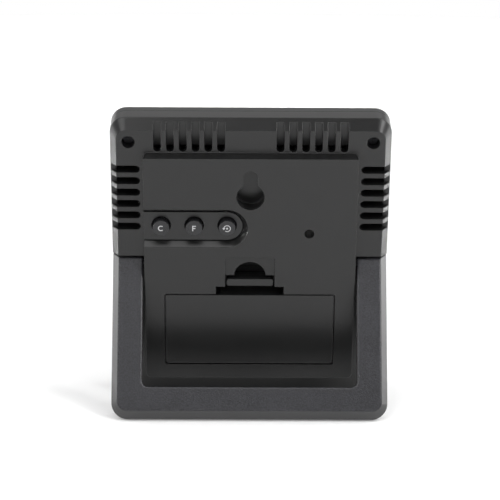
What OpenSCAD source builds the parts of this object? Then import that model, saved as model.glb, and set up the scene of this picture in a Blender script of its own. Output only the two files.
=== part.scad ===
// Temperature and humidity sensor with a fold-out stand, standing with its stand open.
// Millimetres. +Z is up, the display faces -Y and the back with its buttons faces +Y.
// The case is drawn upright on its own bottom edge, then leaned back until case and stand share the table.

/* [Case] */
// Width of the case
body_w = 95; // [92:0.5:100]
// Height of the case along its back
body_h = 109; // [107:0.5:116]
// Corner radius of the outline
corner_r = 5.5; // [4.5:0.1:6.5]
// Depth of the straight wall of the back housing
wall_depth = 5.5; // [5.2:0.1:6.2]
// Depth of the sloped rim
slope_depth = 2.6; // [2.3:0.1:2.9]
// Inset of the sloped rim at the sides
side_inset = 2.1; // [1.7:0.1:2.4]
// Inset of the sloped rim at the top
top_inset = 3.8; // [3.2:0.1:4]
// Inset of the sloped rim at the bottom
bottom_inset = 2.6; // [2.2:0.1:3]
// Thickness of the housing skin
skin = 2; // [1.8:0.1:2.2]
// Depth of the front housing
front_depth = 10.8; // [10.8:0.1:12]
// Depth of the straight side of the front housing
front_side = 3.1; // [2.6:0.1:3.4]
// Inset of the front face
front_inset = 4; // [3.6:0.1:4.2]

/* [Panel] */
// Height of the raised panel above the rim
panel_raise = 3.5; // [3.2:0.1:3.9]
// Distance from the top of the case to the panel
panel_drop = 11.8; // [11.4:0.1:12.4]
// Slant of the panel's top wall
panel_slant = 0.9; // [0.4:0.1:1.2]
// Corner radius of the panel
panel_r = 1.8; // [1:0.1:2]

/* [Layout] */
// Share of the panel's spare height below the battery door
door_share = 0.255; // [0.23:0.001:0.27]
// Share taken by the finger ramp above the latch
ramp_share = 0.325; // [0.3:0.001:0.34]
// Share between the ramp and the button pocket
pocket_share = 0.182; // [0.17:0.001:0.21]

/* [Stand] */
// Width of the stand's legs
stand_band = 10.4; // [9.6:0.1:10.8]
// Height of the stand's foot bar
foot_band = 10.8; // [10.2:0.1:11.2]
// Height of the cut between stand and rim
stand_cut = 58; // [57:0.5:60]
// Gap between the stand and the panel
stand_gap = 0.7; // [0.5:0.1:0.9]
// Opening angle of the stand
stand_open = 35.8; // [30:0.2:37]
// Depth of the seat floor behind the stand
seat_depth = 2.1; // [2:0.1:2.4]
// Gap between the closed stand and its seat
seat_gap = 0.3; // [0.2:0.1:0.4]
// Inner corner radius of the stand
stand_inner_r = 2.3; // [1.5:0.1:3]
// Radius of the pivot pegs
peg_r = 1.5; // [1.2:0.1:1.6]
// Radial clearance of the pivot pegs
peg_clear = 0.06; // [0.04:0.01:0.1]
// Height of the flat cut on the feet
foot_land = 0.4; // [0.3:0.05:0.5]

/* [Vents] */
// Slots in each group
vent_count = 6; // [4:1:6]
// Distance between slots
vent_pitch = 4.3; // [4:0.1:4.4]
// Width of a slot
vent_w = 2.6; // [2:0.1:2.8]
// First top slot from the middle
vent_first = 10; // [9:0.5:11]
// Share of the spare height that lies above the side slots
vent_share = 0.39; // [0.3:0.01:0.5]
// Depth at which the top slots run out on the slope
top_vent_d = 1.75; // [1.5:0.05:2]
// Depth at which the side slots run out on the slope
side_vent_d = 2.5; // [2.2:0.1:2.5]

/* [Keyhole] */
// Diameter of the keyhole's head opening
key_d = 9.5; // [8:0.1:10]
// Width of the keyhole's slot
key_slot = 5; // [4:0.1:5.4]
// Distance from the head opening to the slot's end
key_rise = 7.1; // [6:0.1:7.6]

/* [Buttons] */
// Diameter of a button cap
cap_d = 5.7; // [5:0.1:6]
// Gap round a button cap
cap_gap = 0.4; // [0.3:0.05:0.5]
// Distance between buttons
button_pitch = 11.3; // [10.6:0.1:11.4]
// First button from the panel's edge
button_edge = 5.9; // [5.6:0.1:6.4]
// Height of the button pocket
pocket_h = 14.2; // [13.4:0.1:14.4]
// Depth of the button pocket
pocket_d = 2; // [1.8:0.1:2.6]
// Inset of the pocket's sloped wall
pocket_inset = 1.5; // [1:0.1:1.6]
// Width of the groove round the pocket floor
groove_w = 0.3; // [0.25:0.05:0.5]
// Distance of the buttons above the pocket's middle
button_up = 0.2; // [0:0.1:0.6]
// Height of a cap above the pocket floor
cap_rise = 2.3; // [1.8:0.1:2.6]

/* [Battery bay] */
// Width of the battery door
door_w = 58.5; // [58:0.1:60]
// Height of the battery door
door_h = 27.4; // [27.2:0.1:28]
// Thickness of the battery door
door_t = 1.6; // [1.4:0.1:1.7]
// Gap round the battery door
door_gap = 0.4; // [0.3:0.05:0.45]
// Diameter of a cell
cell_d = 10.5; // [10:0.1:10.5]
// Length of a cell
cell_l = 44.5; // [44:0.1:44.5]
// Width of the latch bar
latch_w = 16; // [14:0.5:17]
// Wire thickness of the battery springs
wire_d = 0.7; // [0.5:0.1:0.8]

/* [Fastenings] */
// Diameter of the case screw counterbores
bore_d = 4.4; // [4.2:0.1:4.6]
// Diameter of the case screw heads
head_d = 3.9; // [3.5:0.1:4]
// Diameter of the case screw shanks
shank_d = 2.2; // [2:0.1:2.3]
// Diameter of the centre screw's hole
centre_d = 3.3; // [3.1:0.1:3.6]
// Diameter of the centre screw's head
centre_head_d = 2.8; // [2.4:0.1:2.9]

/* [Display] */
// Width of the lens
lens_w = 78; // [76:0.5:79]
// Height of the lens
lens_h = 85; // [83:0.5:86]
// Thickness of the lens
lens_t = 1.4; // [1.2:0.1:1.5]
// Width of the display glass
lcd_w = 73; // [71:0.5:73]
// Thickness of the circuit board
board_t = 1.2; // [1:0.1:1.4]

/* [Hidden] */
$fn = 64;
tiny = 0.05;
half_w = body_w / 2;
rim_y = wall_depth + slope_depth;
panel_y = rim_y + panel_raise;
leg_in = half_w - stand_band;
panel_hw = leg_in - stand_gap;
panel_z0 = foot_band + 0.5;
panel_z1 = body_h - panel_drop;
cavity_y = rim_y - skin;
panel_in_y = panel_y - skin;
hinge_z = stand_cut - 3.5;
hinge_y = rim_y - 2.3;
stand_deep = hinge_y - seat_depth - seat_gap;
stop_gap = 0.12;
cut_gap = 1.2;
// lean of the case that puts its own edge and the stand's edge on one table
arm = hinge_z;
edge_a = hinge_y - seat_depth;
foot_z = -arm * cos(stand_open) - stand_deep * sin(stand_open);
foot_y = -stand_deep * cos(stand_open) + arm * sin(stand_open);
lean = atan2(foot_z + arm, foot_y + edge_a);
lift = seat_depth * sin(lean) - foot_land;
tip_dz = -arm + bottom_inset;
tip_dy = rim_y - hinge_y;
tip_y = hinge_y + tip_dy * cos(stand_open) - tip_dz * sin(stand_open);
tip_z = hinge_z + tip_dz * cos(stand_open) + tip_dy * sin(stand_open);
back_reach = max(tip_y * cos(lean) + tip_z * sin(lean),
    panel_y * cos(lean) + (panel_z1 - panel_slant) * sin(lean));
front_reach = -front_depth * cos(lean) + front_inset * sin(lean);
shift = -(back_reach + front_reach) / 2;
// battery bay
latch_h = 7.15;
key_r = key_d / 2;
slot_r = key_slot / 2;
key_h = key_r + key_rise + slot_r;
spare_h = panel_z1 - panel_z0 - door_h - latch_h - pocket_h - key_h;
ramp_h = ramp_share * spare_h;
door_z0 = panel_z0 + door_share * spare_h;
door_z1 = door_z0 + door_h;
catch_z = door_z1 + latch_h;
ramp_z1 = catch_z + ramp_h;
notch_r = 0.725 * ramp_h;
door_y = panel_y - door_t;
bay_hx = 26.6;
bay_z0 = door_z0 + 1.75;
bay_z1 = bay_z0 + 22.6;
bay_floor = -1;
bay_low = panel_z0 + 1;
cell_r = cell_d / 2;
cell_y = door_y - 0.35 - cell_r;
cell_low = bay_z0 + 0.4 + 5.25;
cell_high = bay_z1 - 0.4 - 5.25;
// the door turns on its rounded lower edge
swing_r = 0.4;
swing_y = panel_y - swing_r;
swing_z = door_z0 + swing_r;
plate_t = 0.5;
plate_hz = 0.8 * cell_r;
tail_hz = 1.5;
spring_l = 2 * bay_hx - cell_l - 2 * plate_t;
coil_turns = 4;
coil_wide = 3.7;
coil_thin = 2.3;
coil_steps = coil_turns * 18;
wire_r = wire_d / 2;
// middle of the wire, and its least gap to the next turn
coil_path = [for (i = [0:coil_steps])
    let (t = i / coil_steps, a = 360 * coil_turns * t, r = coil_wide + (coil_thin - coil_wide) * t)
    [wire_r + (spring_l - 2 * wire_r) * t, r * cos(a), r * sin(a)]];
coil_gap = min([for (i = [0:coil_steps - 9]) for (j = [i + 9:coil_steps])
    norm(coil_path[i] - coil_path[j])]) - wire_d;
echo(coil_gap = coil_gap);
// latch, measured from the door's top edge
root_y = 4.1;
root_z = door_z1 + 4.45;
bar_z0 = door_z1 + 3.65;
bar_z1 = door_z1 + 6.25;
slot_hx = 11.75;
recess_hx = latch_w / 2 + 0.55;
ramp_step = 0.7;
ramp_deep = 1.3;
notch_y = 3.2;
hook_x = recess_hx - 1.9;
hook_hx = 0.9;
// buttons
cap_r = cap_d / 2;
hole_r = cap_r + cap_gap;
button_first = panel_hw - button_edge;
button_x = [button_first, button_first - button_pitch, button_first - 2 * button_pitch];
pocket_r = pocket_h / 2;
pocket_y = panel_y - pocket_d;
floor_r = pocket_r - pocket_inset;
groove_d = 0.8;
pocket_z = ramp_z1 + pocket_share * spare_h + pocket_r;
button_z = pocket_z + button_up;
stem_r = 1.5;
switch_top = 0.1;
// keyhole and screws
key_z = pocket_z + pocket_r + key_r;
screw_x = half_w - 6.25;
screw_top = body_h - 8.1;
screw_low = 6;
vent_r = vent_w / 2;
vent_spare = screw_top - bore_d / 2 - stand_cut - (vent_count - 1) * vent_pitch - vent_w;
vent_top = screw_top - bore_d / 2 - vent_share * vent_spare - vent_r;
vent_low = vent_top - (vent_count - 1) * vent_pitch;
top_vent_y = rim_y - top_vent_d;
side_vent_y = rim_y - side_vent_d;
vent_back = 1.2;
vent_tilt = 9;
air_slot = 1.2;
vent_end = panel_z1 + 0.2;
run_out_z = body_h - top_inset + top_vent_d * top_inset / slope_depth;
floor_low_z = vent_end + air_slot;
floor_low_y = top_vent_y - (run_out_z - floor_low_z) * tan(vent_tilt);
floor_top_z = body_h + 1;
floor_top_y = top_vent_y + (floor_top_z - run_out_z) * tan(vent_tilt);
vent_deep = cavity_y - vent_w - vent_back;
deep_vent_y = wall_depth - skin;
seat_top = 3;
seat_low = 0.9;
head_h = 1.1;
pilot_r = shank_d / 2 + 0.05;
centre_x = 16.2 - panel_hw;
centre_z = panel_z1 - 28.8;
// display stack
lens_z = body_h / 2 + 2;
lens_back = -front_depth + lens_t;
tape_t = 0.2;
front_wall = lens_back + tape_t + 0.9;
lens_r = 3;
post_low = 17;
post_drop = 12;
lcd_low = post_low + 10.2;
lcd_top = body_h - post_drop - 3.2;
lcd_hx = lcd_w / 2;
zebra_hx = lcd_hx - 6.5;
zebra_low = lcd_low + 0.5;
zebra_h = 2;
glass_y0 = front_wall + 0.2;
glass_y1 = glass_y0 + 2.05;
tray_y = glass_y1 + 1.65;
board_y0 = tray_y + 0.1;
board_y1 = board_y0 + board_t;
board_z0 = 13;
board_z1 = body_h - 9.5;
board_hx = 37.5;
post_x = 34.5;
post_z = [post_low, body_h - post_drop];
// pieces on the board
chip_r = 6.5;
chip_x = -14;
chip_h = 1.6;
chip_z = button_z + 10;
can_w = 4;
can_h = 8;
can_t = 2.5;
can_x = chip_x - chip_r - 8.5;
part_w = 1.6;
part_h = 0.8;
part_t = 0.9;
part_pitch = 4;
part_z = chip_z + chip_r;
sense_w = 7;
sense_t = 4;
sense_x = post_x - 4.5;
sense_z = board_z1 - 8.5;
switch_w = 6.2;
nub_r = 1.8;
nub_h = 0.9;
bead_h = 1.6;

// shared shapes

module rounded(w, h, r) {
    square([w - 2 * r, h], center = true);
    square([w, h - 2 * r], center = true);
    for (sx = [-1, 1]) for (sy = [-1, 1])
        translate([sx * (w / 2 - r), sy * (h / 2 - r)]) circle(r);
}

module slab(hx, z0, z1, y0, y1, r) {
    translate([0, y1, (z0 + z1) / 2]) rotate([90, 0, 0])
        linear_extrude(y1 - y0) rounded(2 * hx, z1 - z0, r);
}

module block(x0, x1, y0, y1, z0, z1) {
    translate([x0, y0, z0]) cube([x1 - x0, y1 - y0, z1 - z0]);
}

module rod(x, z, r, y0, y1) {
    translate([x, y1, z]) rotate([90, 0, 0]) cylinder(r = r, h = y1 - y0);
}

module profile(points, x0, x1) {
    translate([x0, 0, 0]) rotate([90, 0, 90]) linear_extrude(x1 - x0) polygon(points);
}

module stadium(x0, x1, z0, z1, y0, y1) {
    w = x1 - x0;
    h = z1 - z0;
    r = min(w, h) / 2;
    translate([(x0 + x1) / 2, y1, (z0 + z1) / 2]) rotate([90, 0, 0]) linear_extrude(y1 - y0) {
        if (w > h) square([w - 2 * r, 2 * r], center = true);
        else square([2 * r, h - 2 * r], center = true);
        for (s = [-1, 1])
            translate(w > h ? [s * (w / 2 - r), 0] : [0, s * (h / 2 - r)]) circle(r);
    }
}

// the sloped rim of the whole outline, shared by the back housing and the stand
module rim_slope() {
    flat_r = corner_r - side_inset;
    wide_x = half_w - corner_r;
    flat_x = half_w - side_inset - flat_r;
    hull() for (sx = [-1, 1]) {
        rod(sx * wide_x, corner_r, corner_r, wall_depth - 0.02, wall_depth, $fn = 48);
        rod(sx * wide_x, body_h - corner_r, corner_r, wall_depth - 0.02, wall_depth, $fn = 48);
        rod(sx * flat_x, bottom_inset + flat_r, flat_r, rim_y - 0.02, rim_y, $fn = 48);
        rod(sx * flat_x, body_h - top_inset - flat_r, flat_r, rim_y - 0.02, rim_y, $fn = 48);
    }
}

module front_slope() {
    face_r = max(corner_r - 2, 2);
    hull() {
        for (sx = [-1, 1]) for (sz = [0, 1]) {
            rod(sx * (half_w - corner_r), sz * body_h + (1 - 2 * sz) * corner_r, corner_r,
                -front_side, -front_side + 0.02, $fn = 48);
            rod(sx * (half_w - front_inset - face_r), sz * body_h + (1 - 2 * sz) * (front_inset + face_r),
                face_r, -front_depth, -front_depth + 0.02, $fn = 48);
        }
    }
}

module place_case() {
    translate([0, shift, lift]) rotate([-lean, 0, 0]) children();
}

module place_stand() {
    place_case() translate([0, hinge_y, hinge_z]) rotate([stand_open, 0, 0])
        translate([0, -hinge_y, -hinge_z]) children();
}

module above_table() {
    difference() {
        children();
        translate([-body_w, -body_h, -20]) cube([2 * body_w, 2 * body_h, 20]);
    }
}

// front side

module front_housing() {
    color("dimgray") place_case() difference() {
        union() {
            slab(half_w, 0, body_h, -front_side, 0, corner_r);
            front_slope();
        }
        difference() {
            union() {
                slab(half_w - skin, skin, body_h - skin, -4, 1, corner_r - skin);
                slab(half_w - front_inset - 0.9, front_inset + 0.6, body_h - front_inset - 0.6,
                    front_wall, 1, 3);
            }
            for (sx = [-1, 1]) {
                rod(sx * screw_x, screw_low, 3.2, front_wall - 1, -tiny);
                rod(sx * screw_x, screw_top, 3.2, front_wall - 1, -tiny);
                for (z = post_z) rod(sx * post_x, z, 2.2, front_wall - 1, board_y0 - tiny);
            }
        }
        slab(lens_w / 2 + 0.15, lens_z - lens_h / 2 - 0.15, lens_z + lens_h / 2 + 0.15,
            -front_depth - 1, lens_back + tape_t, lens_r + 0.15);
        slab(lcd_hx - 2, lcd_low + 2, lcd_top - 2, -front_depth, 0, 1.5);
        for (sx = [-1, 1]) {
            rod(sx * screw_x, screw_low, pilot_r, front_wall + 0.6, 1);
            rod(sx * screw_x, screw_top, pilot_r, front_wall + 0.6, 1);
            for (z = post_z) rod(sx * post_x, z, 0.85, front_wall + 0.6, 1);
        }
    }
}

module display_lens() {
    color("black") place_case()
        slab(lens_w / 2, lens_z - lens_h / 2, lens_z + lens_h / 2, -front_depth, lens_back, lens_r);
}

module lens_adhesive() {
    color("gray") place_case() difference() {
        slab(lens_w / 2 - 0.3, lens_z - lens_h / 2 + 0.3, lens_z + lens_h / 2 - 0.3,
            lens_back, lens_back + tape_t, lens_r - 0.3);
        slab(lcd_hx - 1.2, lcd_low + 1.2, lcd_top - 1.2, lens_back - 1, 0, 1.5);
    }
}

module lcd_glass() {
    color("lightgray") place_case()
        block(-lcd_hx, lcd_hx, glass_y0, glass_y1 - tiny, lcd_low, lcd_top);
}

module lcd_diffuser() {
    color("white") place_case()
        block(-lcd_hx + 0.5, lcd_hx - 0.5, glass_y1, glass_y1 + 0.95, lcd_low + 3.8, lcd_top - 0.5);
}

module lcd_holder() {
    color("whitesmoke") place_case() difference() {
        block(-lcd_hx - 0.9, lcd_hx + 0.9, glass_y0, tray_y, lcd_low - 0.9, lcd_top + 0.8);
        block(-lcd_hx - 0.1, lcd_hx + 0.1, glass_y0 - 1, glass_y1 + 1, lcd_low - 0.1, lcd_top + 0.1);
        block(-zebra_hx - 0.2, zebra_hx + 0.2, glass_y0 - 1, tray_y + 1,
            zebra_low - 0.3, zebra_low + zebra_h + 0.3);
    }
}

module zebra_connector() {
    color("hotpink") place_case()
        block(-zebra_hx, zebra_hx, glass_y1, board_y0, zebra_low, zebra_low + zebra_h);
}

// circuit board

module main_board() {
    color("darkgreen") place_case() difference() {
        slab(board_hx, board_z0, board_z1, board_y0, board_y1, 1.5);
        for (sx = [-1, 1]) for (z = post_z) rod(sx * post_x, z, 1, board_y0 - 1, board_y1 + 1);
        rod(centre_x, centre_z, 1.2, board_y0 - 1, board_y1 + 1);
    }
}

module controller_chip() {
    color("black") place_case() translate([chip_x, board_y1, chip_z]) rotate([-90, 0, 0])
        cylinder(r1 = chip_r, r2 = 0.7 * chip_r, h = chip_h);
}

module crystal_can() {
    color("silver") place_case()
        stadium(can_x - can_w / 2, can_x + can_w / 2, chip_z - can_h, chip_z, board_y1, board_y1 + can_t);
}

module board_capacitors() {
    color("tan") place_case() for (i = [0:5])
        translate([(i - 0.5) * part_pitch, board_y1, part_z]) cube([part_w, part_t, part_h]);
}

module humidity_sensor() {
    color("white") place_case() difference() {
        block(sense_x - sense_w / 2, sense_x + sense_w / 2, board_y1, board_y1 + sense_t,
            sense_z - sense_w / 2, sense_z + sense_w / 2);
        for (i = [-1.5:1.5]) translate([sense_x + sense_w * (0.22 * i - 0.06), board_y1 + 0.75 * sense_t,
            sense_z - 0.36 * sense_w]) cube([0.12 * sense_w, sense_t, 0.72 * sense_w]);
    }
}

module tact_switches() {
    color("silver") place_case() for (x = button_x) difference() {
        block(x - switch_w / 2, x + switch_w / 2, board_y1, switch_top,
            button_z - switch_w / 2, button_z + switch_w / 2);
        rod(x, button_z, stem_r + 0.15, switch_top - 1.4, switch_top + 1);
    }
}

module board_spacer() {
    color("gold") place_case() difference() {
        rod(centre_x, centre_z, 2.2, board_y1, -0.3);
        rod(centre_x, centre_z, 0.85, board_y1 - 1, 1);
    }
}

module board_screws() {
    color("silver") place_case() for (sx = [-1, 1]) for (z = post_z) difference() {
        union() {
            rod(sx * post_x, z, 1.6, board_y1, board_y1 + 0.9);
            rod(sx * post_x, z, 0.8, board_y0 - 3, board_y1 + 0.5);
        }
        cross_recess(sx * post_x, z, board_y1 + 0.9, 0.9);
    }
}

module cross_recess(x, z, y, w) {
    block(x - w, x + w, y - 0.5, y + 1, z - w / 5, z + w / 5);
    block(x - w / 5, x + w / 5, y - 0.5, y + 1, z - w, z + w);
}

// back side

module back_shape() {
    difference() {
        union() {
            slab(half_w, 0, body_h, 0, wall_depth, corner_r);
            rim_slope();
        }
        block(-body_w, body_w, seat_depth, 40, -1, stand_cut);
    }
    difference() {
        slab(panel_hw, panel_z0, panel_z1, 0.5, panel_y, panel_r);
        profile([[rim_y, panel_z1], [panel_y + 0.1, panel_z1 - panel_slant * (1 + 0.1 / panel_raise)],
            [panel_y + 0.1, panel_z1 + 2], [rim_y, panel_z1 + 2]], -body_w, body_w);
    }
    block(-31, 31, bay_floor - 1.2, door_y - 0.5, bay_low, door_z1 + 1.2);
}

module back_hollow() {
    difference() {
        union() {
            block(-half_w + 4.1, half_w - 4.1, -5, cavity_y, stand_cut + skin, body_h - 5.8);
            block(-panel_hw + skin, panel_hw - skin, -5, panel_in_y,
                panel_z0 + skin, panel_z1 - skin - panel_slant);
        }
        block(-31, 31, bay_floor - 1.2, panel_y, bay_low, door_z1 + 1.2);
        block(-slot_hx - 1.6, slot_hx + 1.6, 1.6, panel_y, door_z1 - 2, ramp_z1 + 1.5);
        for (sx = [-1, 1]) rod(sx * screw_x, screw_top, 3.8, -1, rim_y);
        rod(centre_x, centre_z, 3.2, -tiny, panel_y);
        block(button_x[2] - pocket_r - 1.6, panel_hw + 1, cavity_y, panel_y,
            pocket_z - pocket_r - 1.6, pocket_z + pocket_r + 1.6);
        stadium(-key_r - 2.2, key_r + 2.2, key_z - key_r - 2.2, key_z + key_rise + key_r + 2.2,
            panel_in_y - 5.8, panel_y);
        vent_backs();
    }
}

// walls behind the vents, left standing in the hollow
module vent_backs() {
    first_x = vent_first - vent_r - vent_back;
    last_x = vent_first + (vent_count - 1) * vent_pitch + vent_r + vent_back;
    for (s = [-1, 1]) {
        profile([[floor_low_y - vent_back, vent_end], [floor_low_y - vent_back, floor_low_z],
            [floor_top_y - vent_back, floor_top_z], [rim_y, floor_top_z], [rim_y, vent_end]],
            min(s * first_x, s * last_x), max(s * first_x, s * last_x));
        block(min(s * panel_hw, s * half_w), max(s * panel_hw, s * half_w),
            deep_vent_y - vent_back, rim_y, vent_low - vent_r - vent_back, vent_top + vent_r + vent_back);
    }
}

module keyhole_cut() {
    rod(0, key_z, key_r, panel_in_y - 0.5, panel_y + 1);
    stadium(-slot_r, slot_r, key_z - slot_r, key_z + key_rise + slot_r, panel_in_y - 0.5, panel_y + 1);
    stadium(-key_r - 0.6, key_r + 0.6, key_z - key_r - 0.6, key_z + key_rise + key_r + 0.6,
        panel_in_y - 4.5, panel_in_y);
}

// slots that run out on the rim's slope, with a gap for air at the lower edge of each floor
module vent_cuts() {
    end_x = panel_hw + 1.1 + vent_r;
    end_z = vent_end + vent_r;
    deep_x = half_w - skin;
    for (s = [-1, 1]) for (i = [0:vent_count - 1]) {
        x = s * (vent_first + i * vent_pitch);
        z = vent_top - i * vent_pitch;
        difference() {
            union() {
                rod(x, end_z, vent_r, vent_deep, rim_y + 1);
                block(x - vent_r, x + vent_r, vent_deep, rim_y + 1, end_z, floor_top_z);
            }
            profile([[0, floor_low_z], [floor_low_y, floor_low_z], [floor_top_y, floor_top_z],
                [0, floor_top_z]], x - vent_w, x + vent_w);
        }
        rod(s * end_x, z, vent_r, deep_vent_y, rim_y + 1);
        block(min(s * end_x, s * deep_x), max(s * end_x, s * deep_x),
            deep_vent_y, rim_y + 1, z - vent_r, z + vent_r);
        block(min(s * end_x, s * (half_w + 1)), max(s * end_x, s * (half_w + 1)),
            side_vent_y, rim_y + 1, z - vent_r, z + vent_r);
        block(min(s * end_x, s * deep_x), max(s * end_x, s * deep_x),
            deep_vent_y - 2 * vent_back, rim_y, z - vent_r, z - vent_r + air_slot);
    }
}

module latch_cuts() {
    block(-slot_hx, slot_hx, 3, panel_y + 1, door_z1 - 1.3, bar_z0 - 0.3);
    block(-recess_hx, recess_hx, 3, panel_y + 1, door_z1 - 1.3, catch_z);
    intersection() {
        profile([[panel_y - ramp_step, ramp_z1], [panel_y - ramp_deep, catch_z - 0.01],
            [panel_y + 1, catch_z - 0.01], [panel_y + 1, ramp_z1]], -recess_hx, recess_hx);
        slab(recess_hx, catch_z - 2, ramp_z1, panel_y - 3, panel_y + 1, 0.8);
    }
    difference() {
        rod(0, catch_z, notch_r, notch_y, panel_y + 1);
        block(-10, 10, 0, panel_y + 2, catch_z - 10, catch_z - 0.02);
    }
}

// sloped pocket, open at the panel's edge, with a groove round its floor
module pocket_cut() {
    end_x = button_x[2];
    out_x = panel_hw + 1;
    top_r = pocket_r + pocket_inset / pocket_d;
    translate([end_x, pocket_y, pocket_z]) rotate([-90, 0, 0])
        cylinder(r1 = floor_r, r2 = top_r, h = pocket_d + 1);
    translate([0, 0, pocket_z]) profile([[pocket_y, -floor_r], [panel_y + 1, -top_r],
        [panel_y + 1, top_r], [pocket_y, floor_r]], end_x, out_x);
    difference() {
        stadium(end_x - floor_r, out_x + floor_r, pocket_z - floor_r, pocket_z + floor_r,
            pocket_y - groove_d, pocket_y + tiny);
        stadium(end_x - floor_r + groove_w, out_x + floor_r, pocket_z - floor_r + groove_w,
            pocket_z + floor_r - groove_w, pocket_y - groove_d - 1, pocket_y + 1);
    }
}

module back_housing() {
    color("dimgray") above_table() place_case() difference() {
        back_shape();
        back_hollow();
        pocket_cut();
        for (x = button_x) rod(x, button_z, hole_r, -1, pocket_y + 1);
        keyhole_cut();
        vent_cuts();
        // screws
        for (sx = [-1, 1]) {
            rod(sx * screw_x, screw_top, bore_d / 2, seat_top, rim_y + 1);
            rod(sx * screw_x, screw_top, shank_d / 2 + 0.2, -1, rim_y);
            rod(sx * screw_x, screw_low, bore_d / 2, seat_low, seat_depth + 1);
            rod(sx * screw_x, screw_low, shank_d / 2 + 0.2, -1, seat_depth);
            // pivot bores
            translate([sx * (panel_hw - 4), hinge_y, hinge_z]) rotate([0, 90, 0])
                cylinder(r = peg_r + peg_clear, h = 10, center = true);
        }
        rod(centre_x, centre_z, centre_d / 2, 4, panel_y + 1);
        rod(centre_x, centre_z, 1.1, -1, 5);
        // battery bay
        slab(door_w / 2 + door_gap, door_z0 - door_gap, door_z1 + door_gap, door_y - 0.1, panel_y + 1, 0.9);
        block(-bay_hx, bay_hx, bay_floor, panel_y, bay_z0, bay_z1);
        for (sx = [-1, 1])
            block(sx * 15 - 3.4, sx * 15 + 3.4, door_y - 3.2, door_y, door_z0 - 1.6, bay_z0 + 0.1);
        for (z = [cell_low, cell_high])
            block(bay_hx - plate_t - 0.2, bay_hx + 0.3, -3, bay_floor + 1,
                z - tail_hz - 0.3, z + tail_hz + 0.3);
        latch_cuts();
    }
}

module screw(x, z, y, r, h, shank_r, tip) {
    difference() {
        union() {
            rod(x, z, r, y, y + h);
            rod(x, z, shank_r, tip, y + h / 2);
        }
        cross_recess(x, z, y + h, r * 0.6);
    }
}

module case_screws() {
    color("silver") place_case() for (sx = [-1, 1]) {
        screw(sx * screw_x, screw_top, seat_top, head_d / 2, head_h, shank_d / 2, front_wall + 1);
        screw(sx * screw_x, screw_low, seat_low, head_d / 2, head_h, shank_d / 2, front_wall + 1);
    }
}

module centre_screw() {
    color("silver") place_case() screw(centre_x, centre_z, 4, centre_head_d / 2, 1.4, 0.8, board_y1 + 0.4);
}

// battery contacts and cells

module contact_plate(x0, x1, z, half_z) {
    block(x0, x1, cell_y - half_z, cell_y + half_z, z - half_z, z + half_z);
}

module contact_positive() {
    color("silver") place_case() {
        contact_plate(bay_hx - plate_t, bay_hx, cell_high, plate_hz);
        block(bay_hx - plate_t, bay_hx, board_y1, cell_y, cell_high - tail_hz, cell_high + tail_hz);
    }
}

module contact_negative() {
    color("silver") place_case() {
        contact_plate(bay_hx - plate_t, bay_hx, cell_low, plate_hz);
        block(bay_hx - plate_t, bay_hx, board_y1, cell_y, cell_low - tail_hz, cell_low + tail_hz);
    }
}

module contact_bridge() {
    color("silver") place_case() {
        contact_plate(-bay_hx, -bay_hx + plate_t, cell_low, plate_hz);
        contact_plate(-bay_hx, -bay_hx + plate_t, cell_high, plate_hz);
        block(-bay_hx, -bay_hx + plate_t, cell_y - 2, cell_y + 2, cell_low, cell_high);
    }
}

// a coil whose wire starts on its contact plate and narrows towards the cell
module coil() {
    sides = 8;
    last = coil_steps * sides;
    points = [for (i = [0:coil_steps]) for (k = [0:sides - 1])
        let (p = coil_path[i], b = 360 * k / sides, m = 1 + wire_r * cos(b) / norm([p[1], p[2]]))
        [p[0] + wire_r * sin(b), p[1] * m, p[2] * m]];
    one = [for (i = [0:coil_steps - 1]) for (k = [0:sides - 1])
        [i * sides + k, (i + 1) * sides + k, (i + 1) * sides + (k + 1) % sides]];
    two = [for (i = [0:coil_steps - 1]) for (k = [0:sides - 1])
        [i * sides + k, (i + 1) * sides + (k + 1) % sides, i * sides + (k + 1) % sides]];
    ends = [[for (k = [0:sides - 1]) k], [for (k = [0:sides - 1]) last + sides - 1 - k]];
    polyhedron(points, concat(one, two, ends));
}

module spring_upper() {
    color("silver") place_case() translate([-bay_hx + plate_t, cell_y, cell_high]) coil();
}

module spring_lower() {
    color("silver") place_case() translate([bay_hx - plate_t, cell_y, cell_low])
        rotate([0, 180, 0]) coil();
}

module cell() {
    rotate([0, 90, 0]) rotate_extrude() polygon([[0, 0], [cell_r - 0.6, 0], [cell_r - 0.2, 0.15],
        [cell_r, 0.5], [cell_r, cell_l - bead_h], [cell_r - 0.3, cell_l - nub_h - 0.3],
        [2 * nub_r, cell_l - nub_h - 0.2], [nub_r, cell_l - nub_h], [nub_r, cell_l], [0, cell_l]]);
}

module cell_upper() {
    color("goldenrod") place_case() translate([bay_hx - plate_t - cell_l, cell_y, cell_high]) cell();
}

module cell_lower() {
    color("goldenrod") place_case() translate([-bay_hx + plate_t + cell_l, cell_y, cell_low])
        rotate([0, 180, 0]) cell();
}

// battery door with its sprung latch

module battery_door() {
    color("dimgray") place_case() {
        difference() {
            slab(door_w / 2, door_z0, door_z1, door_y, panel_y, 0.7);
            block(-door_w, door_w, swing_y, panel_y + 1, door_z0 - 1, swing_z);
        }
        translate([-door_w / 2 + 0.7, swing_y, swing_z]) rotate([0, 90, 0])
            cylinder(r = swing_r, h = door_w - 1.4);
        for (sx = [-1, 1]) {
            block(sx * 15 - 3, sx * 15 + 3, door_y - 1.4, door_y - 0.2, door_z0 - 1.5, door_z0 + 2.5);
            block(sx * 15 - 3, sx * 15 + 3, door_y - 0.4, door_y + 0.5, door_z0 + 1, door_z0 + 2.5);
        }
        block(-10.5, 10.5, root_y - 0.55, door_y + 0.3, door_z1 - 1.1, door_z1);
        block(-latch_w / 2, latch_w / 2, root_y - 0.55, root_y + 0.55, door_z1 - 1.1, root_z - 0.8);
    }
}

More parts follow.
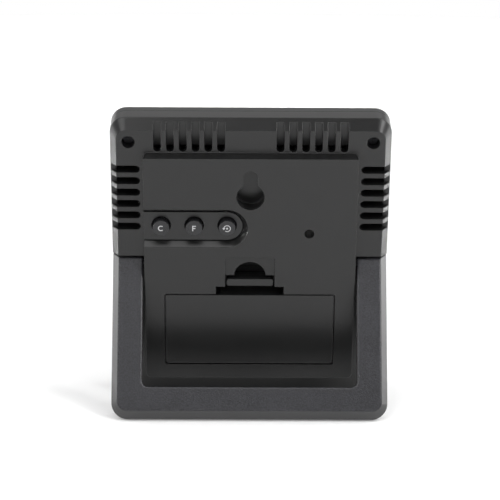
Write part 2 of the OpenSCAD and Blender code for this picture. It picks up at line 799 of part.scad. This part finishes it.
module battery_latch() {
    color("dimgray") place_case() {
        translate([-latch_w / 2, root_y, root_z]) rotate([0, 90, 0]) cylinder(r = 0.55, h = latch_w);
        block(-latch_w / 2, latch_w / 2, root_y, panel_y - 1, root_z - 0.55, root_z + 0.55);
        slab(latch_w / 2, bar_z0, bar_z1, panel_y - 1.6, panel_y - 0.2, 0.8);
        for (sx = [-1, 1]) block(sx * hook_x - hook_hx, sx * hook_x + hook_hx,
            panel_y - 4.4, panel_y - 3.2, root_z, bar_z1 + 0.4);
    }
}

// buttons

module button(x) {
    rod(x, button_z, cap_r, cavity_y - 1.2, pocket_y + cap_rise);
    rod(x, button_z, cap_r + 1.2, cavity_y - 1.2, cavity_y - 0.2);
    rod(x, button_z, stem_r, switch_top - 0.5, cavity_y - 1);
}

module button_c() {
    color("black") place_case() button(button_x[0]);
}

module button_f() {
    color("black") place_case() button(button_x[1]);
}

module button_reset() {
    color("black") place_case() button(button_x[2]);
}

// stand, drawn closed and then turned about its pegs

module stand() {
    top_dz = 2.9;
    near_dy = rim_y - hinge_y;
    plane_d = stand_cut - cut_gap - hinge_z;
    heel_d = edge_a - stop_gap;
    side = sin(stand_open);
    along = cos(stand_open);
    leg_x = half_w - stand_band / 2;
    core_hx = stand_band / 2 - 1.8;
    core_y = seat_depth + seat_gap + 2.4;
    color("dimgray") above_table() place_stand() {
        difference() {
            intersection() {
                union() {
                    slab(half_w, 0, body_h, seat_depth + seat_gap, wall_depth, corner_r);
                    rim_slope();
                }
                translate([0, hinge_y, hinge_z]) profile([
                    [near_dy + 1, -body_h],
                    [near_dy + 1, (plane_d - (near_dy + 1) * side) / along],
                    [(plane_d - top_dz * along) / side, top_dz],
                    [(top_dz * side - heel_d) / along, top_dz],
                    [-stand_deep, (heel_d - stand_deep * along) / side],
                    [-stand_deep - 1, -1],
                    [-stand_deep - 1, -body_h]], -body_w, body_w);
            }
            slab(leg_in, foot_band, body_h, 0, 20, stand_inner_r);
            for (sx = [-1, 1])
                block(sx * leg_x - core_hx, sx * leg_x + core_hx, 0, core_y, foot_band, hinge_z - 5);
            block(-half_w + 5, half_w - 5, 0, core_y, 2.4, foot_band - 1.8);
        }
        for (sx = [-1, 1]) translate([sx * (leg_in + 0.5), hinge_y, hinge_z]) rotate([0, -sx * 90, 0])
            cylinder(r = peg_r, h = 2.9);
    }
}

front_housing();
display_lens();
lens_adhesive();
lcd_glass();
lcd_diffuser();
lcd_holder();
zebra_connector();
main_board();
controller_chip();
crystal_can();
board_capacitors();
humidity_sensor();
tact_switches();
board_spacer();
board_screws();
back_housing();
case_screws();
centre_screw();
contact_positive();
contact_negative();
contact_bridge();
spring_upper();
spring_lower();
cell_upper();
cell_lower();
battery_door();
battery_latch();
button_c();
button_f();
button_reset();
stand();
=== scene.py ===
import math

import bmesh
import bpy
from mathutils import Matrix, Vector


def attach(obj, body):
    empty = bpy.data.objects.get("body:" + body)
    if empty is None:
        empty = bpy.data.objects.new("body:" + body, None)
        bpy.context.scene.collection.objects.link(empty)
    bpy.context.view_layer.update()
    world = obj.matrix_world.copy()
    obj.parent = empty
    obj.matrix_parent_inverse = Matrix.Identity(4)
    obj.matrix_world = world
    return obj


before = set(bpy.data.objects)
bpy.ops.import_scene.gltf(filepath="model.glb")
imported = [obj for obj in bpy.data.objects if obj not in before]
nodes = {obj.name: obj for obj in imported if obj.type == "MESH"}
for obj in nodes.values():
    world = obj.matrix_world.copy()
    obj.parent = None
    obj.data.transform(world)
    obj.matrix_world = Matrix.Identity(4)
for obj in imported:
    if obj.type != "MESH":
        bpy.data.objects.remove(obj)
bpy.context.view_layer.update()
scene = bpy.context.scene
MM = 0.001
PLASTIC_IOR = 1.49


# Places, read from the solids
def lean_angle():
    """Lean of the case, from the front edge of the display glass, which is a plain box in it."""
    points = [v.co for v in nodes["lcd_glass"].data.vertices]
    foot = min(points, key=lambda p: p.y)
    top = max(points, key=lambda p: p.z)
    return math.atan2(top.y - foot.y, top.z - foot.z)


LEAN = Matrix.Rotation(-lean_angle(), 4, "X")


def face(name, side):
    """Frame of a node's outermost flat face, on the back with side 1 and on the front with side -1.
    It is in millimetres round the face's middle, with x across, y to the back and z up the case."""
    upright = LEAN.inverted()
    points = [upright @ v.co for v in nodes[name].data.vertices]
    level = max(p.y * side for p in points) * side
    rim = [p for p in points if abs(p.y - level) < 0.01 * MM]
    x = (min(p.x for p in rim) + max(p.x for p in rim)) / 2
    z = (min(p.z for p in rim) + max(p.z for p in rim)) / 2
    return LEAN @ Matrix.Translation((x, level, z)) @ Matrix.Diagonal((MM, MM, MM, 1))


# Materials
def new_material(name):
    m = bpy.data.materials.new(name)
    m.use_nodes = True
    return m, m.node_tree, m.node_tree.nodes["Principled BSDF"]


def object_coords(nt):
    return nt.nodes.new("ShaderNodeTexCoord").outputs["Object"]


def noise(nt, coords, size_mm, detail=2.0, rough=0.5):
    n = nt.nodes.new("ShaderNodeTexNoise")
    n.inputs["Scale"].default_value = 1 / (size_mm * MM)
    n.inputs["Detail"].default_value = detail
    n.inputs["Roughness"].default_value = rough
    nt.links.new(coords, n.inputs["Vector"])
    return n.outputs["Fac"]


def ramp(nt, value, stops, interpolation="LINEAR"):
    r = nt.nodes.new("ShaderNodeValToRGB")
    r.color_ramp.interpolation = interpolation
    while len(r.color_ramp.elements) < len(stops):
        r.color_ramp.elements.new(0.5)
    for e, (place, colour) in zip(r.color_ramp.elements, stops):
        e.position = place
        e.color = (*colour, 1)
    nt.links.new(value, r.inputs["Fac"])
    return r.outputs["Color"]


def spread(nt, value, low, high, from_low=0.3, from_high=0.7):
    m = nt.nodes.new("ShaderNodeMapRange")
    m.inputs["From Min"].default_value = from_low
    m.inputs["From Max"].default_value = from_high
    m.inputs["To Min"].default_value = low
    m.inputs["To Max"].default_value = high
    nt.links.new(value, m.inputs["Value"])
    return m.outputs["Result"]


def blend(nt, a, b, share):
    m = nt.nodes.new("ShaderNodeMix")
    m.inputs["Factor"].default_value = share
    nt.links.new(a, m.inputs["A"])
    nt.links.new(b, m.inputs["B"])
    return m.outputs["Result"]


def bump(nt, bsdf, height, strength, depth_mm):
    """Relief of the surface."""
    b = nt.nodes.new("ShaderNodeBump")
    b.inputs["Strength"].default_value = strength
    b.inputs["Distance"].default_value = depth_mm * MM
    nt.links.new(height, b.inputs["Height"])
    nt.links.new(b.outputs["Normal"], bsdf.inputs["Normal"])
    return b


def rounded_edge(nt, edge_mm):
    """Normal with edges that look rounded by edge_mm, and a value that is 0 on such edges and 1 elsewhere.
    The turn is the cosine of the angle between this normal and the face's own."""
    edge_turn = 0.96
    flat_turn = 0.998
    edge = nt.nodes.new("ShaderNodeBevel")
    edge.samples = 8
    edge.inputs["Radius"].default_value = edge_mm * MM
    turn = nt.nodes.new("ShaderNodeVectorMath")
    turn.operation = "DOT_PRODUCT"
    nt.links.new(edge.outputs["Normal"], turn.inputs[0])
    nt.links.new(nt.nodes.new("ShaderNodeNewGeometry").outputs["True Normal"], turn.inputs[1])
    return edge.outputs["Normal"], spread(nt, turn.outputs["Value"], 0, 1, edge_turn, flat_turn)


def moulded(name, dark, light, rough, grain_mm, strength, depth_mm, edge_mm=0.3, clouds=0.5):
    """Moulded plastic: a spark-eroded grain with flow clouds in its colour and gloss, and smooth edges.
    The share of the clouds is from 0 to 1."""
    cloud_mm = 9.0
    edge_rough = 0.2
    tone_low = 0.38
    tone_high = 0.62
    m, nt, bsdf = new_material(name)
    at = object_coords(nt)
    grain = noise(nt, at, grain_mm, 3.0, 0.6)
    tone = blend(nt, grain, noise(nt, at, cloud_mm, 4.0, 0.55), clouds)
    nt.links.new(ramp(nt, tone, [(tone_low, dark), (tone_high, light)]), bsdf.inputs["Base Color"])
    bsdf.inputs["IOR"].default_value = PLASTIC_IOR
    relief = bump(nt, bsdf, grain, strength, depth_mm)
    edge, flat = rounded_edge(nt, edge_mm)
    nt.links.new(edge, relief.inputs["Normal"])
    nt.links.new(spread(nt, flat, 0, strength, 0, 1), relief.inputs["Strength"])
    gloss = nt.nodes.new("ShaderNodeMix")
    nt.links.new(flat, gloss.inputs["Factor"])
    gloss.inputs["A"].default_value = edge_rough
    nt.links.new(spread(nt, tone, rough[0], rough[1], tone_low, tone_high), gloss.inputs["B"])
    nt.links.new(gloss.outputs["Result"], bsdf.inputs["Roughness"])
    return m


def metal(name, colour, rough):
    """Plated or drawn metal with fine lines along X."""
    m, nt, bsdf = new_material(name)
    stretch = nt.nodes.new("ShaderNodeMapping")
    stretch.inputs["Scale"].default_value = (0.08, 1, 1)
    nt.links.new(object_coords(nt), stretch.inputs["Vector"])
    lines = noise(nt, stretch.outputs["Vector"], 0.6, 3.0, 0.6)
    light = tuple(min(1, c * 1.12) for c in colour)
    nt.links.new(ramp(nt, lines, [(0.35, colour), (0.65, light)]), bsdf.inputs["Base Color"])
    nt.links.new(spread(nt, lines, rough - 0.06, rough + 0.08), bsdf.inputs["Roughness"])
    bsdf.inputs["Metallic"].default_value = 1.0
    bump(nt, bsdf, lines, 0.15, 0.01)
    return m


def speckled(name, dark, light, rough, size_mm, strength=0.1, depth_mm=0.01):
    """Even material with fine spots in its colour, gloss and relief."""
    m, nt, bsdf = new_material(name)
    spots = noise(nt, object_coords(nt), size_mm, 4.0, 0.6)
    nt.links.new(ramp(nt, spots, [(0.35, dark), (0.65, light)]), bsdf.inputs["Base Color"])
    nt.links.new(spread(nt, spots, rough - 0.06, rough + 0.06), bsdf.inputs["Roughness"])
    bump(nt, bsdf, spots, strength, depth_mm)
    return m


def clear_lens():
    m, nt, bsdf = new_material("clear_lens")
    haze = noise(nt, object_coords(nt), 16.0, 3.0)
    nt.links.new(spread(nt, haze, 0.02, 0.05), bsdf.inputs["Roughness"])
    bsdf.inputs["Base Color"].default_value = (0.96, 0.97, 0.97, 1)
    bsdf.inputs["Transmission Weight"].default_value = 1.0
    bsdf.inputs["IOR"].default_value = PLASTIC_IOR
    return m


def solder_board():
    """Black solder resist, with runs of copper under it that show a little lighter."""
    m, nt, bsdf = new_material("solder_board")
    at = object_coords(nt)
    turn = nt.nodes.new("ShaderNodeMapping")
    turn.inputs["Rotation"].default_value = (math.radians(90), 0, 0)
    nt.links.new(at, turn.inputs["Vector"])
    runs = nt.nodes.new("ShaderNodeTexBrick")
    runs.offset = 0.35
    runs.squash = 1.6
    runs.inputs["Scale"].default_value = 330
    runs.inputs["Mortar Size"].default_value = 0.035
    runs.inputs["Color1"].default_value = (0.004, 0.004, 0.005, 1)
    runs.inputs["Color2"].default_value = (0.006, 0.006, 0.006, 1)
    runs.inputs["Mortar"].default_value = (0.020, 0.016, 0.012, 1)
    nt.links.new(turn.outputs["Vector"], runs.inputs["Vector"])
    nt.links.new(runs.outputs["Color"], bsdf.inputs["Base Color"])
    nt.links.new(spread(nt, noise(nt, at, 1.1), 0.36, 0.48), bsdf.inputs["Roughness"])
    bump(nt, bsdf, runs.outputs["Fac"], 0.2, 0.03)
    return m


def cell_sleeve(node, way):
    """Sleeve in two tones with bright metal ends, for a cell along X with its knob towards X times way."""
    xs = [v.co.x * way for v in nodes[node].data.vertices]
    m, nt, bsdf = new_material(node.replace("cell_", "cell_sleeve_"))
    at = object_coords(nt)
    parts = nt.nodes.new("ShaderNodeSeparateXYZ")
    nt.links.new(at, parts.inputs["Vector"])
    along = spread(nt, parts.outputs["X"], 0.0, 1.0, min(xs) * way, max(xs) * way)
    tones = [
        (0.0, (0.60, 0.60, 0.58)),
        (0.025, (0.010, 0.030, 0.055)),
        (0.70, (0.45, 0.47, 0.50)),
        (0.74, (0.015, 0.075, 0.120)),
        (0.965, (0.62, 0.62, 0.60)),
    ]
    shine = [(0.0, (1, 1, 1)), (0.025, (0, 0, 0)), (0.965, (1, 1, 1))]
    nt.links.new(ramp(nt, along, tones, "CONSTANT"), bsdf.inputs["Base Color"])
    nt.links.new(ramp(nt, along, shine, "CONSTANT"), bsdf.inputs["Metallic"])
    wrap = noise(nt, at, 2.0)
    nt.links.new(spread(nt, wrap, 0.24, 0.32), bsdf.inputs["Roughness"])
    bump(nt, bsdf, wrap, 0.05, 0.02)
    return m


CASE_PLASTIC = moulded(
    "case_plastic", dark=(0.0060, 0.0060, 0.0061), light=(0.0070, 0.0070, 0.0071), rough=(0.28, 0.31),
    grain_mm=0.6, strength=0.12, depth_mm=0.05,
)
STAND_PLASTIC = moulded(
    "stand_plastic", dark=(0.0080, 0.0080, 0.0100), light=(0.0240, 0.0240, 0.0290), rough=(0.32, 0.42),
    grain_mm=0.5, strength=1.00, depth_mm=0.12, edge_mm=1.2, clouds=0.15,
)
STAND_RIM = moulded(
    "stand_rim", dark=(0.0330, 0.0330, 0.0340), light=(0.0360, 0.0360, 0.0370), rough=(0.28, 0.32),
    grain_mm=0.6, strength=0.12, depth_mm=0.05, edge_mm=0.6,
)
BUTTON_PLASTIC = moulded(
    "button_plastic", dark=(0.0080, 0.0080, 0.0090), light=(0.0130, 0.0130, 0.0145), rough=(0.26, 0.34),
    grain_mm=0.5, strength=0.15, depth_mm=0.03,
)
WHITE_PLASTIC = moulded(
    "white_plastic", dark=(0.66, 0.66, 0.64), light=(0.74, 0.74, 0.72), rough=(0.40, 0.50),
    grain_mm=0.5, strength=0.05, depth_mm=0.02,
)
STEEL = metal("plated_steel", (0.55, 0.55, 0.54), rough=0.28)
BLACK_STEEL = metal("blackened_steel", (0.030, 0.030, 0.032), rough=0.35)
BRASS = metal("brass", (0.62, 0.43, 0.16), rough=0.30)
INK = speckled(
    "white_ink", dark=(0.40, 0.40, 0.41), light=(0.50, 0.50, 0.51), rough=0.45,
    size_mm=0.12, strength=0.05, depth_mm=0.005,
)
SEGMENT = speckled(
    "display_segment", dark=(0.010, 0.012, 0.011), light=(0.018, 0.020, 0.018), rough=0.35, size_mm=0.12
)
BORDER = speckled(
    "black_border", dark=(0.004, 0.004, 0.004), light=(0.008, 0.008, 0.008), rough=0.30, size_mm=0.4
)
DISPLAY_GLASS = speckled(
    "display_glass", dark=(0.300, 0.330, 0.270), light=(0.330, 0.360, 0.300), rough=0.35,
    size_mm=0.6, strength=0.05,
)
RUBBER = speckled(
    "striped_rubber", dark=(0.42, 0.16, 0.20), light=(0.55, 0.24, 0.28), rough=0.75,
    size_mm=0.6, strength=0.2, depth_mm=0.03,
)
EPOXY = speckled(
    "epoxy_blob", dark=(0.006, 0.006, 0.006), light=(0.012, 0.012, 0.012), rough=0.22, size_mm=1.5
)
CERAMIC = speckled("ceramic", dark=(0.26, 0.16, 0.08), light=(0.34, 0.22, 0.12), rough=0.5, size_mm=0.4)

LOOKS = {
    "front_housing": CASE_PLASTIC,
    "back_housing": CASE_PLASTIC,
    "battery_door": CASE_PLASTIC,
    "battery_latch": CASE_PLASTIC,
    "stand": STAND_PLASTIC,
    "button_c": BUTTON_PLASTIC,
    "button_f": BUTTON_PLASTIC,
    "button_reset": BUTTON_PLASTIC,
    "display_lens": clear_lens(),
    "lens_adhesive": BORDER,
    "lcd_glass": DISPLAY_GLASS,
    "lcd_diffuser": WHITE_PLASTIC,
    "lcd_holder": WHITE_PLASTIC,
    "zebra_connector": RUBBER,
    "main_board": solder_board(),
    "controller_chip": EPOXY,
    "crystal_can": STEEL,
    "board_capacitors": CERAMIC,
    "humidity_sensor": WHITE_PLASTIC,
    "tact_switches": STEEL,
    "board_spacer": BRASS,
    "board_screws": STEEL,
    "case_screws": BLACK_STEEL,
    "centre_screw": STEEL,
    "contact_positive": STEEL,
    "contact_negative": STEEL,
    "contact_bridge": STEEL,
    "spring_upper": STEEL,
    "spring_lower": STEEL,
    "cell_upper": cell_sleeve("cell_upper", 1),
    "cell_lower": cell_sleeve("cell_lower", -1),
}
for name, obj in nodes.items():
    obj.data.materials.clear()
    obj.data.materials.append(LOOKS[name])


def smooth_rim(obj, material):
    """Gives the material to the edges, which have no grain: all faces that aren't along the widest one."""
    along = 0.98
    widest = max(obj.data.polygons, key=lambda p: p.area).normal.copy()
    obj.data.materials.append(material)
    for p in obj.data.polygons:
        p.material_index = 0 if abs(p.normal.dot(widest)) > along else 1


smooth_rim(nodes["stand"], STAND_RIM)


# Marks on the buttons and the display
def piece(name, polygons, place, low, high, material, body):
    """Flat polygons in a face's x and z, with their thickness from low to high along its y."""
    bm = bmesh.new()
    for points in polygons:
        lower = [bm.verts.new((x, low, z)) for x, z in points]
        upper = [bm.verts.new((x, high, z)) for x, z in points]
        bm.faces.new(lower)
        bm.faces.new(list(reversed(upper)))
        for i in range(len(points)):
            j = (i + 1) % len(points)
            bm.faces.new((lower[j], lower[i], upper[i], upper[j]))
    bmesh.ops.recalc_face_normals(bm, faces=bm.faces)
    mesh = bpy.data.meshes.new(name)
    bm.to_mesh(mesh)
    bm.free()
    mesh.transform(place)
    mesh.materials.append(material)
    obj = bpy.data.objects.new(name, mesh)
    scene.collection.objects.link(obj)
    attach(obj, body)


def arc(x, z, r, width, start, end, steps):
    """Quads along an arc, with angles in degrees."""
    quads = []
    for i in range(steps):
        a, b = (math.radians(start + (end - start) * (i + k) / steps) for k in (0, 1))
        ring = [(r - width / 2, a), (r + width / 2, a), (r + width / 2, b), (r - width / 2, b)]
        quads.append([(x + q * math.cos(t), z + q * math.sin(t)) for q, t in ring])
    return quads


def disc(x, z, r, steps):
    turns = [2 * math.pi * i / steps for i in range(steps)]
    return [[(x + r * math.cos(t), z + r * math.sin(t)) for t in turns]]


def bar(x0, x1, z0, z1):
    return [[(x0, z0), (x1, z0), (x1, z1), (x0, z1)]]


def seen_from_behind(polygons):
    return [[(-x, z) for x, z in points] for points in polygons]


def button_marks():
    """Unit letters and a circular arrow, in millimetres round the middle of each cap."""
    stroke = 0.34
    half_h = 1.02
    ring_r = 1.12
    ring_w = 0.26
    sunk = -0.01
    raised = 0.03
    marks = {
        "c": arc(0, 0, half_h - stroke / 2, stroke, 48, 312, 22),
        "f": bar(-0.60, -0.60 + stroke, -half_h, half_h)
        + bar(-0.60 + stroke, 0.66, half_h - stroke, half_h)
        + bar(-0.60 + stroke, 0.50, -stroke / 2, stroke / 2),
        "reset": arc(0, 0, ring_r, ring_w, -122, 168, 26)
        + disc(0, 0, 0.34, 18)
        + [[(-ring_r - 0.50, 0.20), (-ring_r, -0.56), (-ring_r + 0.50, 0.20)]],
    }
    for kind, polygons in marks.items():
        cap = "button_" + kind
        shown = seen_from_behind(polygons)
        piece("mark_" + kind, shown, face(cap, 1), sunk, raised, INK, cap)


# Segments that make each digit of the display
LIT = {
    "0": "abcdef", "1": "bc", "2": "abged", "3": "abgcd", "4": "fgbc",
    "5": "afgcd", "6": "afgedc", "7": "abc", "8": "abcdefg", "9": "abcdfg",
}


def digit(value, x, z, w, h, t):
    """Segments of one digit whose lower left corner is at x and z, with strokes of width t."""
    g = t * 0.12
    lean = 0.06
    m = h / 2

    def flat(z_mid):
        return [(t / 2 + g, z_mid), (t + g, z_mid + t / 2), (w - t - g, z_mid + t / 2),
                (w - t / 2 - g, z_mid), (w - t - g, z_mid - t / 2), (t + g, z_mid - t / 2)]

    def upright(x_mid, z0, z1):
        return [(x_mid, z0 + g), (x_mid + t / 2, z0 + t / 2 + g), (x_mid + t / 2, z1 - t / 2 - g),
                (x_mid, z1 - g), (x_mid - t / 2, z1 - t / 2 - g), (x_mid - t / 2, z0 + t / 2 + g)]

    shapes = {
        "a": flat(h - t / 2), "g": flat(m), "d": flat(t / 2),
        "f": upright(t / 2, m, h - t / 2), "b": upright(w - t / 2, m, h - t / 2),
        "e": upright(t / 2, t / 2, m), "c": upright(w - t / 2, t / 2, m),
    }
    return [[(x + px + lean * pz, z + pz) for px, pz in shapes[s]] for s in LIT[value]]


def level_bars(x, z, count):
    """Row of bars from x to the right, each higher than the one before."""
    step = 2.6
    width = 1.8
    first_h = 3
    rise = 2
    bars = []
    for i in range(count):
        left = x + step * i
        bars += bar(left, left + width, z, z + first_h + rise * i)
    return bars


def display_marks():
    """Reading of the display, in millimetres round the middle of its glass."""
    left = -26
    upper = 2.5
    lower = -27
    large = {"w": 13.5, "h": 24, "t": 3.0}
    middle = {"w": 11.0, "h": 19.5, "t": 2.5}
    small = {"w": 8.6, "h": 15, "t": 2.0}
    point = 2.2
    film = 0.06
    marks = {
        "digits_temperature": digit("2", left, upper, **large)
        + digit("2", left + 16.5, upper, **large)
        + bar(left + 32.2, left + 32.2 + point, upper, upper + point)
        + digit("5", left + 36.5, upper, **small),
        "unit_temperature": arc(14.0, upper + 22, 1.25, 0.6, 0, 360, 20)
        + arc(20.2, upper + 19.6, 3.1, 1.1, 48, 312, 20),
        "digits_humidity": digit("4", left, lower, **middle) + digit("8", left + 13.6, lower, **middle),
        "unit_humidity": arc(5.2, lower + 16.5, 1.45, 0.8, 0, 360, 20)
        + arc(10.6, lower + 11.1, 1.45, 0.8, 0, 360, 20)
        + [[(4.6, lower + 9.9), (5.6, lower + 9.9), (11.2, lower + 17.7), (10.2, lower + 17.7)]],
        "display_rule": bar(-28, 28, -2.9, -2.4),
        "level_bars": level_bars(16, lower, 5),
    }
    for name, polygons in marks.items():
        piece(name, polygons, face("lcd_glass", -1), -film, 0, SEGMENT, "case")


button_marks()
display_marks()


# Stage
def floor():
    """White floor with a little light of its own, which keeps the shadows on it soft."""
    radius = 1.3
    glow = 0.18
    below_mm = 0.02
    cloud_mm = 330.0
    tones = [(0.3, (0.79, 0.79, 0.79)), (0.7, (0.81, 0.81, 0.81))]
    m, nt, bsdf = new_material("floor")
    clouds = noise(nt, object_coords(nt), cloud_mm)
    nt.links.new(ramp(nt, clouds, tones), bsdf.inputs["Base Color"])
    bsdf.inputs["Emission Color"].default_value = (1, 1, 1, 1)
    bsdf.inputs["Emission Strength"].default_value = glow
    bsdf.inputs["Roughness"].default_value = 0.8
    bsdf.inputs["Specular IOR Level"].default_value = 0.1
    mesh = bpy.data.meshes.new("floor")
    bm = bmesh.new()
    bmesh.ops.create_circle(bm, cap_ends=True, segments=64, radius=radius)
    bm.to_mesh(mesh)
    bm.free()
    mesh.materials.append(m)
    obj = bpy.data.objects.new("floor", mesh)
    scene.collection.objects.link(obj)
    obj.location = (0, 0, -below_mm * MM)


def soft_light(name, place, aim, width, height, watts, spread_angle=180):
    data = bpy.data.lights.new(name, "AREA")
    data.shape = "RECTANGLE"
    data.size = width
    data.size_y = height
    data.energy = watts
    data.spread = math.radians(spread_angle)
    obj = bpy.data.objects.new(name, data)
    scene.collection.objects.link(obj)
    obj.location = place
    obj.rotation_euler = (Vector(aim) - Vector(place)).to_track_quat("-Z", "Y").to_euler()
    obj.visible_camera = False


def white_room():
    """World that is white towards the horizon and dim overhead.
    The heights are sines of the angle above the horizon."""
    world = bpy.data.worlds.new("white_room")
    world.use_nodes = True
    scene.world = world
    nt = world.node_tree
    parts = nt.nodes.new("ShaderNodeSeparateXYZ")
    nt.links.new(nt.nodes.new("ShaderNodeTexCoord").outputs["Generated"], parts.inputs["Vector"])
    white_height = 0.16
    dim_height = 0.38
    tones = [(white_height, (1.0, 1.0, 1.0)), (dim_height, (0.07, 0.07, 0.07))]
    nt.links.new(ramp(nt, parts.outputs["Z"], tones), nt.nodes["Background"].inputs["Color"])


def light_from_above(name, x, y, z, width, height, watts, spread_angle):
    """Light that shines down, aimed a hair off the vertical so that its sides lie along X and Y."""
    hair = 0.001
    soft_light(name, (x, y, z), (x, y + hair, 0), width, height, watts, spread_angle)


def studio():
    """Tall key light from the right behind the camera and small fills. Two patches on the floor show in the
    sloped sides of the part, and the floor is white further out."""
    white_room()
    soft_light("key", (-0.62, 0.67, 0.67), (0, 0, 0.05), width=0.24, height=0.62, watts=4.6)
    soft_light("fill_left", (0.42, 0.87, 0.62), (0, 0, 0.06), width=0.60, height=0.40, watts=2.3)
    soft_light("overhead", (0, 0.35, 0.90), (0, 0.02, 0.05), width=0.90, height=0.70, watts=4.7)
    soft_light("side_left", (0.42, -0.08, 0.18), (0, 0, 0.07), width=0.40, height=0.30, watts=1.3)
    soft_light("side_right", (-0.42, -0.08, 0.18), (0, 0, 0.07), width=0.40, height=0.30, watts=1.8)
    soft_light("high_front", (0, -0.70, 0.65), (0, 0, 0.08), width=1.00, height=0.40, watts=1.0)
    beside = 0.25
    for name, x in (("left", beside), ("right", -beside)):
        light_from_above("patch_" + name, x, 0, 0.30, width=0.14, height=0.20, watts=0.75, spread_angle=20)
    out = 1.35
    for name, x, y in (("front", 0, -out), ("back", 0, out), ("left", out, 0), ("right", -out, 0)):
        width = 1.4 if x else 2.4
        light_from_above("floor_" + name, x, y, 1.5, width, height=1.4, watts=20, spread_angle=40)


def camera():
    """Camera of the photograph, fitted to the edges of the object in it."""
    data = bpy.data.cameras.new("camera")
    data.lens = 140.086
    data.sensor_width = 36
    data.clip_start = 0.05
    data.clip_end = 40
    obj = bpy.data.objects.new("camera", data)
    scene.collection.objects.link(obj)
    place = Vector((0.0051018, 0.6624225, 0.2064535))
    aim = Vector((-0.0000048, 0.0073345, 0.0567282))
    roll = Matrix.Rotation(math.radians(0.335), 4, "Z")
    turn = (aim - place).to_track_quat("-Z", "Y").to_matrix().to_4x4()
    obj.matrix_world = Matrix.Translation(place) @ turn @ roll
    scene.camera = obj


floor()
studio()
camera()
scene.view_settings.view_transform = "Standard"
scene.view_settings.look = "None"
